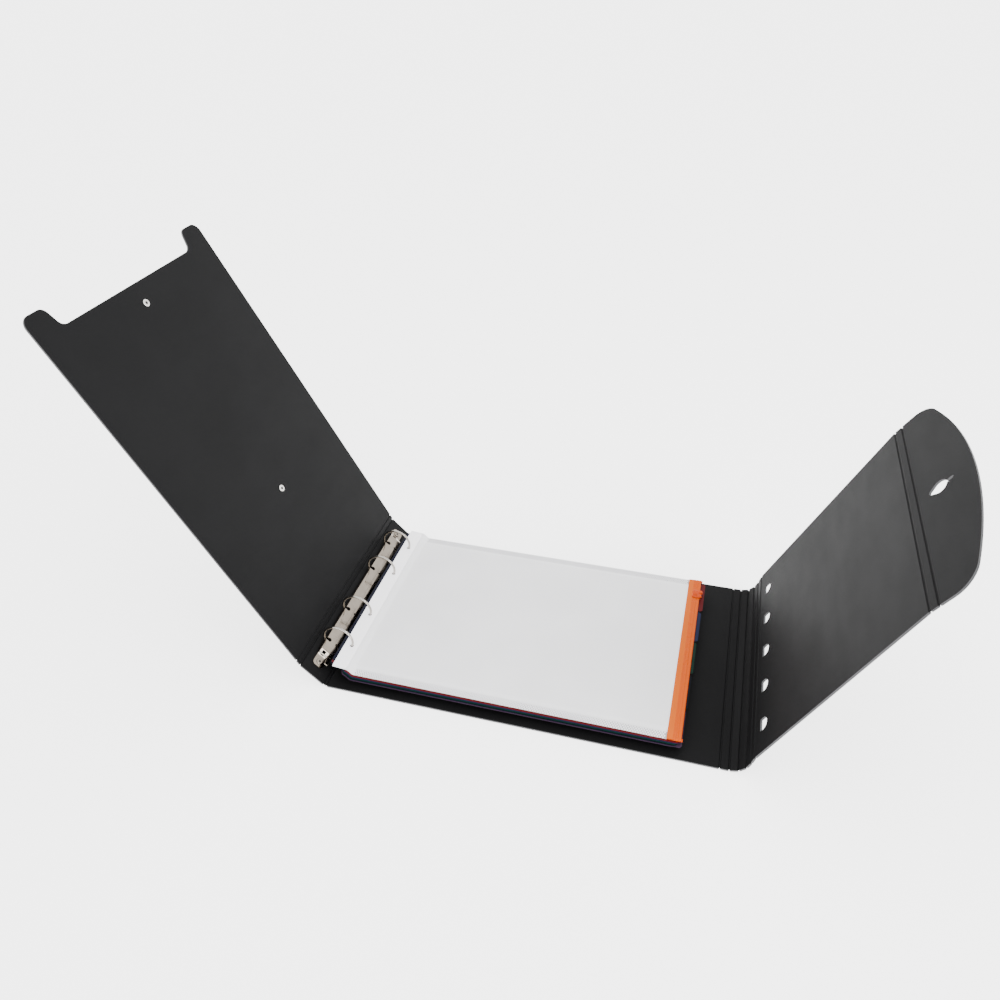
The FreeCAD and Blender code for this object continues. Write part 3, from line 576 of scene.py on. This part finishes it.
def painted_shade_disc(name, middle, along, outward, body):
    """A small dark disc of painted shade, standing for the shade at the bottom of a rivet's bore."""
    turn = Matrix((along, Vector((0.0, 1.0, 0.0)), outward)).transposed().to_4x4()
    form = bmesh.new()
    bmesh.ops.create_cone(
        form, cap_ends=True, segments=CORE_SIDES, radius1=CORE_RADIUS, radius2=CORE_RADIUS * CORE_TAPER,
        depth=CORE_DEPTH, matrix=Matrix.Translation(middle) @ turn,
    )
    core = add_piece(name, mesh_from(form, name), body, BORE_SHADE_METAL)


def washer_bore_shade(name, distance):
    """The painted shade in the bore of the washer this far up the cover from its crease."""
    fold = joint_point("cover_fold")
    inward = widest_normal(NODES["front_cover"].data)
    if inward.x < 0.0:
        inward.negate()
    along = Vector((-inward.z, 0.0, inward.x))
    middle = fold + along * distance + inward * (SHEET / 2.0 + CORE_HEIGHT)
    painted_shade_disc(name, middle, along, inward, "cover")


def rail_bore_shades():
    """The painted shade in the bores of the two rivets that hold the rail's tongues."""
    middle = (box_middle("rail_rivets") - SPINE_LOW).dot(SPINE_ALONG)
    for name, y in (("near", -RAIL_RIVET), ("far", RAIL_RIVET)):
        place = SPINE_LOW + SPINE_ALONG * middle + SPINE_UP * RAIL_RIVET_TOP
        place.y = y
        painted_shade_disc("rail_rivet_bore_shade_%s" % name, place, SPINE_ALONG, SPINE_UP, "spine")


# node, width of its rounded edges in mm, steps of their rounding, material
METAL = [
    ("ring_rail", 0.16, 2, NICKEL),
    ("rail_rivets", 0.14, 2, NICKEL),
    ("fixed_hinge_plate", 0.10, 2, NICKEL),
    ("moving_hinge_plate", 0.10, 2, NICKEL),
    ("fixed_ring_halves", 0.10, 2, WIRE),
    ("moving_ring_halves", 0.10, 2, WIRE),
    ("lever_pin", 0.12, 2, WIRE),
    ("trigger_lever", 0.25, 3, NICKEL),
    ("closing_button", 0.15, 2, WIRE),
    ("edge_rivet", 0.15, 2, WIRE),
    ("cover_washers", 0.12, 2, WASHER_METAL),
]


def finish_metal():
    """The ring mechanism, the button and the rivets, with rounded edges and painted shade discs in their
    bores.
    """
    for node, width, steps, material in METAL:
        shape = widen_rail if node == "ring_rail" else None
        finished_copy(node, width * MM, material, segments=steps, shape=shape)
    washer_bore_shade("edge_rivet_bore_shade", RIVET_PLACE)
    washer_bore_shade("closing_button_bore_shade", BUTTON_PLACE)
    rail_bore_shades()


# ---- dividers ------------------------------------------------------------------------
EDGE_LOW, EDGE_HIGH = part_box("red_divider_strip")
MARGIN_TRIM = 1.6 * MM        # the punched margins end a little nearer the holes
MARGIN_BAND = 4.0 * MM        # points this near a sheet's edge move with it
MARGIN_FALL = math.tan(math.radians(6.0))   # how steeply the margins slope down to the right
FREE_BAND = 12.0 * MM         # the free edge's points, tabs included
STAGGER = 0.9 * MM            # each sheet's free edge stops short of the one above it
# how far each near edge is drawn in, in mm
NEAR_TRIMS = {"red": 2.6, "blue": 2.0, "teal": 1.4, "navy": 0.7, "grey": 0.0}


def settle(number, name):
    """How one divider lies in the stack: trimmed margin and slightly staggered edges.

    Its reinforcing strip ends at the margin, so only the sheet has a free edge to move.
    """
    def shape(mesh):
        right = max(vert.co.x for vert in mesh.vertices)
        near = min(vert.co.y for vert in mesh.vertices)
        for vert in mesh.vertices:
            if vert.co.x < EDGE_LOW.x + MARGIN_BAND:
                vert.co.x += MARGIN_TRIM
                vert.co.z -= MARGIN_TRIM * MARGIN_FALL
            if vert.co.x > right - FREE_BAND and right > EDGE_HIGH.x + FREE_BAND:
                vert.co.x -= STAGGER * number
            if vert.co.y < near + MARGIN_BAND:
                vert.co.y += NEAR_TRIMS[name] * MM
    return shape


def finish_dividers():
    """The five tinted sheets, each with the strip along its holes."""
    for number, name in enumerate(TINTS):
        shape = settle(number, name)
        finished_copy("%s_divider" % name, 0.06 * MM, TINTED[name], segments=1, shape=shape)
        finished_copy("%s_divider_strip" % name, 0.05 * MM, NAVY_STRIP, segments=1, shape=shape)


# ---- zip pocket ----------------------------------------------------------------------
POCKET_LOW, POCKET_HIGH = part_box("pocket_top_film")
STRIP_LOW, STRIP_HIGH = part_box("pocket_ring_strip")
BAND_LOW, BAND_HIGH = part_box("zip_band_upper")
SLIDER_Y = box_middle("zip_slider").y
HOLE_ROWS = (-77.5 * MM, -32.5 * MM, 32.5 * MM, 77.5 * MM)
HOLE_MIDDLE = STRIP_LOW.x + 12.0 * MM
HOLE_RIM = 3.1 * MM           # points this near a hole's middle are on its rim
HOLE_CLOSED_UP = 0.62         # share of its size left, where the film springs back round the wire
POCKET_TRIM = 4.6 * MM        # the pocket's margin ends short of the dividers' margins
POCKET_BAND = 3.0 * MM        # points this near its edge move with it
FILM = 0.25 * MM
WELD = STRIP_HIGH.x + 0.3 * MM    # where the upper film leaves the ring strip
WELD_LEVEL = STRIP_LOW.z + 0.15 * MM
BORDER_LEVEL = POCKET_LOW.z + 0.1 * MM
FLANGE = 7.5 * MM             # flat welded border along both long edges
RISE = 5.0 * MM               # run over which the upper film rises from the border
PUFF = 0.9 * MM               # how far the middle of the upper film stands up
PUFF_RUN = 8.0 * RISE         # run over which it reaches that height
RIPPLE = 0.35 * MM            # greatest height of the film's faint ripple
RIPPLE_SCALE = (22.0, 30.0)   # noise cells per metre, across and along
RIPPLE_SLICE = 0.4            # the level in the noise that the ripple is cut from
DROP_COLUMNS = 8
FILM_COLUMNS = 72
RISE_ROWS = 6
INNER_ROWS = 24               # on each side of the middle
DOT_ROWS = (0.13, 0.38, 0.63, 0.88)   # shares of the border's width
DOT_PITCH = 2.4 * MM
DOT_RADIUS = 0.80 * MM
DOT_HEIGHT = 0.34 * MM


def ease(share):
    """A soft step from 0 to 1."""
    share = min(max(share, 0.0), 1.0)
    return share * share * (3.0 - 2.0 * share)


def trim_margin(mesh):
    """Shortens the punched margin and draws its holes in round the wires."""
    for vert in mesh.vertices:
        if vert.co.x < STRIP_LOW.x + POCKET_BAND:
            vert.co.x += POCKET_TRIM
            vert.co.z -= POCKET_TRIM * MARGIN_FALL
        for row in HOLE_ROWS:
            offset = Vector((vert.co.x - HOLE_MIDDLE, vert.co.y - row, 0.0))
            if offset.length < HOLE_RIM:
                moved = offset * (HOLE_CLOSED_UP - 1.0)
                vert.co += Vector((moved.x, moved.y, -moved.x * MARGIN_FALL))


def film_height(x, y):
    """Top of the pocket's upper film: down from the weld, level, and puffed in the middle."""
    along = (x - WELD) / (POCKET_LOW.x - WELD)
    inside = POCKET_HIGH.y - abs(y) - FLANGE
    risen = ease(inside / RISE)
    body = BORDER_LEVEL + (POCKET_HIGH.z - BORDER_LEVEL) * risen
    drop = WELD_LEVEL + (body - WELD_LEVEL) * ease(along)
    length = POCKET_HIGH.x - POCKET_LOW.x
    middle = math.sin(math.pi * min(max((x - POCKET_LOW.x) / length, 0.0), 1.0))
    puff = PUFF * middle * ease(inside / PUFF_RUN)
    ripple = noise.noise(Vector((x * RIPPLE_SCALE[0], y * RIPPLE_SCALE[1], RIPPLE_SLICE))) * RIPPLE
    return drop + puff + ripple * middle * risen


def film_columns():
    """Places across the film, from the ring strip's weld to the closure."""
    drop = POCKET_LOW.x - WELD
    width = POCKET_HIGH.x - POCKET_LOW.x
    columns = [WELD + drop * n / DROP_COLUMNS for n in range(DROP_COLUMNS)]
    return columns + [POCKET_LOW.x + width * n / FILM_COLUMNS for n in range(FILM_COLUMNS + 1)]


def film_rows():
    """Places along the film: border, rise, middle, rise, border."""
    border = POCKET_HIGH.y - FLANGE
    edge = [POCKET_HIGH.y, border] + [border - RISE * n / RISE_ROWS for n in range(1, RISE_ROWS + 1)]
    middle = [edge[-1] * (n / INNER_ROWS - 1.0) for n in range(1, 2 * INNER_ROWS)]
    return [-y for y in edge] + middle + edge[::-1]


def add_pocket_film():
    """The upper film as a thin closed grid, with its welded borders in their own material."""
    columns, rows = film_columns(), film_rows()
    verts, faces = [], []
    for lift in (0.0, -FILM):
        for y in rows:
            verts += [(x, y, film_height(x, y) + lift) for x in columns]
    wide, deep = len(columns), len(rows)
    lower = wide * deep
    for r in range(deep - 1):
        for c in range(wide - 1):
            a = r * wide + c
            quad = (a, a + 1, a + 1 + wide, a + wide)
            faces.append(quad)
            faces.append(tuple(lower + index for index in reversed(quad)))
    rim = list(range(wide)) + [r * wide + wide - 1 for r in range(1, deep)]
    rim += [(deep - 1) * wide + c for c in range(wide - 2, -1, -1)]
    rim += [r * wide for r in range(deep - 2, 0, -1)]
    for index, here in enumerate(rim):
        there = rim[(index + 1) % len(rim)]
        faces.append((there, here, here + lower, there + lower))
    mesh = bpy.data.meshes.new("pocket_film")
    mesh.from_pydata(verts, [], faces)
    film = add_piece("pocket_film", mesh, "pocket", POCKET_FILM, WELD_FILM)
    for face in film.data.polygons:
        if abs(face.center.y) > POCKET_HIGH.y - FLANGE and face.center.x > POCKET_LOW.x:
            face.material_index = 1
    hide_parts("pocket_top_film")


def add_weld_dots():
    """Staggered rows of embossed dots along each welded border."""
    form = bmesh.new()
    count = int((POCKET_HIGH.x - POCKET_LOW.x) / DOT_PITCH)
    for side in (-1.0, 1.0):
        for number, row in enumerate(DOT_ROWS):
            y = side * (POCKET_HIGH.y - FLANGE * row)
            for n in range(count):
                x = POCKET_LOW.x + DOT_PITCH * (n + 0.25 + 0.5 * (number % 2))
                place = Matrix.Translation((x, y, film_height(x, y)))
                size = Matrix.Diagonal((DOT_RADIUS, DOT_RADIUS, DOT_HEIGHT, 1.0))
                bmesh.ops.create_icosphere(form, subdivisions=1, radius=1.0, matrix=place @ size)
    mesh = mesh_from(form, "pocket_weld_dots")
    dots = add_piece("pocket_weld_dots", mesh, "pocket", STRIP_WHITE)


BAND_FLAT = 0.40 * MM         # the band's flat level above its underside
BAND_PALE = 0.42              # share of its width that is pale
# share of the band's width, height above its flat level in mm
BAND_PROFILE = [
    (0.0, -0.12), (0.03, 0.0), (0.40, 0.04), (0.44, 0.30), (0.47, 0.36), (0.50, 0.32),
    (0.53, 0.14), (0.58, 0.12), (0.63, 0.14), (0.65, 0.42), (0.68, 0.50), (0.72, 0.50),
    (0.75, 0.42), (0.77, 0.16), (0.84, 0.14), (0.88, 0.34), (0.93, 0.38), (0.97, 0.26), (1.0, 0.0),
]


def add_band():
    """Upper half of the closure: a pale flat margin, then the raised, ribbed track."""
    left, right = BAND_LOW.x, BAND_HIGH.x
    bottom = BAND_LOW.z
    width = right - left
    level = bottom + BAND_FLAT
    outline = [(left + width * share, level + height * MM) for share, height in BAND_PROFILE]
    outline += [(right, bottom), (left, bottom)]
    band = extruded("zip_band", outline, BAND_LOW.y, BAND_HIGH.y, 1, "pocket", ORANGE, ORANGE_PALE)
    for face in band.data.polygons:
        if face.center.x < left + width * BAND_PALE:
            face.material_index = 1
    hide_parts("zip_band_upper")


def smooth_loop(points, steps=6):
    """A closed Catmull-Rom curve through the points."""
    loop = []
    count = len(points)
    for n in range(count):
        p0, p1, p2, p3 = (Vector(points[(n + k - 1) % count]) for k in range(4))
        for step in range(steps):
            t = step / steps
            bend = 2.0 * p0 - 5.0 * p1 + 4.0 * p2 - p3
            twist = 3.0 * p1 - p0 - 3.0 * p2 + p3
            loop.append(0.5 * (2.0 * p1 + (p2 - p0) * t + bend * t * t + twist * t ** 3))
    return loop


def domed_plate(name, loop, layers, body, material):
    """Stacks scaled copies of an outline, given as (height, scale), into a closed dome."""
    middle = sum(loop, Vector((0.0, 0.0))) / len(loop)
    verts, faces = [], []
    count = len(loop)
    for height, scale in layers:
        for point in loop:
            place = middle + (point - middle) * scale
            verts.append((place.x, place.y, height))
    for layer in range(len(layers) - 1):
        for n in range(count):
            a, b = layer * count + n, layer * count + (n + 1) % count
            faces.append((a, b, b + count, a + count))
    faces.append(tuple(reversed(range(count))))
    faces.append(tuple(range((len(layers) - 1) * count, len(layers) * count)))
    mesh = bpy.data.meshes.new(name)
    mesh.from_pydata(verts, [], faces)
    return add_piece(name, mesh, body, material)


SLIDER_LOW, SLIDER_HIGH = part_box("zip_slider")
SLIDER_BASE = BAND_HIGH.z + 0.12 * MM
SLIDER_TOP = SLIDER_BASE + 1.3 * MM
SLIDER_EDGES = {
    "left": SLIDER_LOW.x + 0.6 * MM,
    "right": SLIDER_HIGH.x,
    "skirt": BAND_HIGH.x + 0.3 * MM,
}
# outlines: edge the point is measured from, distance across from it, distance along from the middle, in mm
SADDLE = [
    ("left", 0.0, -4.4), ("left", 2.6, -5.6), ("right", -2.6, -5.4), ("right", -0.9, -3.6),
    ("right", -1.9, -1.4), ("right", -0.9, 0.8), ("right", -0.3, 3.0), ("right", -1.6, 5.3),
    ("left", 2.6, 5.6), ("left", 0.0, 4.4), ("left", 0.5, 0.0),
]
KNOB = [
    ("right", -4.4, 0.9), ("right", -2.4, 0.4), ("right", -1.0, 1.6),
    ("right", -0.9, 3.6), ("right", -2.4, 4.6), ("right", -4.4, 4.0),
]
GRIP = [
    ("left", 0.9, -0.5), ("left", 3.4, -0.9), ("left", 5.2, -0.5),
    ("left", 5.2, 0.1), ("left", 3.4, 0.3), ("left", 0.9, 0.1),
]
GRIP_SHIFTS = {"grip_26": -2.6, "grip_10": -1.0}
SKIRT = [
    ("skirt", 0.0, -4.2), ("skirt", 0.5, -4.5), ("skirt", 0.9, -4.2),
    ("skirt", 0.9, 4.2), ("skirt", 0.5, 4.5), ("skirt", 0.0, 4.2),
]
# layers: height above the plate's level in mm, scale of its outline
SADDLE_LAYERS = [(0.0, 0.97), (0.25, 1.0), (0.8, 0.98), (1.2, 0.90), (1.4, 0.76), (1.45, 0.5)]
KNOB_LAYERS = [(-0.4, 1.0), (0.5, 1.0), (0.9, 0.88), (1.05, 0.6)]
GRIP_LAYERS = [(-0.2, 1.0), (0.35, 0.95), (0.5, 0.7)]
SKIRT_LAYERS = [(0.0, 0.9), (0.2, 1.0), ((SLIDER_BASE - SLIDER_LOW.z) / MM + 0.5, 1.0)]


def slider_plate(name, outline, level, layers, shift=0.0, steps=6):
    """One moulded part of the slider, from its tables."""
    points = []
    for edge, side, along in outline:
        points.append((SLIDER_EDGES[edge] + side * MM, SLIDER_Y + (along + shift) * MM))
    stack = [(level + height * MM, scale) for height, scale in layers]
    plate = domed_plate("zip_slider_%s" % name, smooth_loop(points, steps), stack, "slider", ORANGE_DEEP)
    return plate


def add_slider():
    """Moulded slider: a two-lobed saddle with a thumb knob, two grips and a skirt beside the band."""
    saddle = slider_plate("saddle", SADDLE, SLIDER_BASE, SADDLE_LAYERS)
    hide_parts("zip_slider")
    slider_plate("knob", KNOB, SLIDER_TOP, KNOB_LAYERS)
    for name, shift in GRIP_SHIFTS.items():
        slider_plate(name, GRIP, SLIDER_TOP, GRIP_LAYERS, shift=shift)
    slider_plate("skirt", SKIRT, SLIDER_LOW.z, SKIRT_LAYERS, steps=2)


def finish_pocket():
    """The pocket's films, its ring strip and its closure."""
    finished_copy("pocket_bottom_film", 0.05 * MM, POCKET_FILM, segments=1, shape=trim_margin)
    finished_copy("pocket_ring_strip", 0.08 * MM, STRIP_WHITE, segments=1, shape=trim_margin)
    finished_copy("zip_band_lower", 0.10 * MM, ORANGE)
    finished_copy("zip_track_lower", 0.10 * MM, ORANGE, segments=1)
    finished_copy("zip_track_upper", 0.10 * MM, ORANGE, segments=1)
    finished_copy("zip_end_stops", 0.30 * MM, ORANGE_DEEP, segments=3)
    add_pocket_film()
    add_weld_dots()
    add_band()
    add_slider()


add_camera()
add_studio()
finish_panels()
add_creases()
finish_metal()
finish_dividers()
finish_pocket()
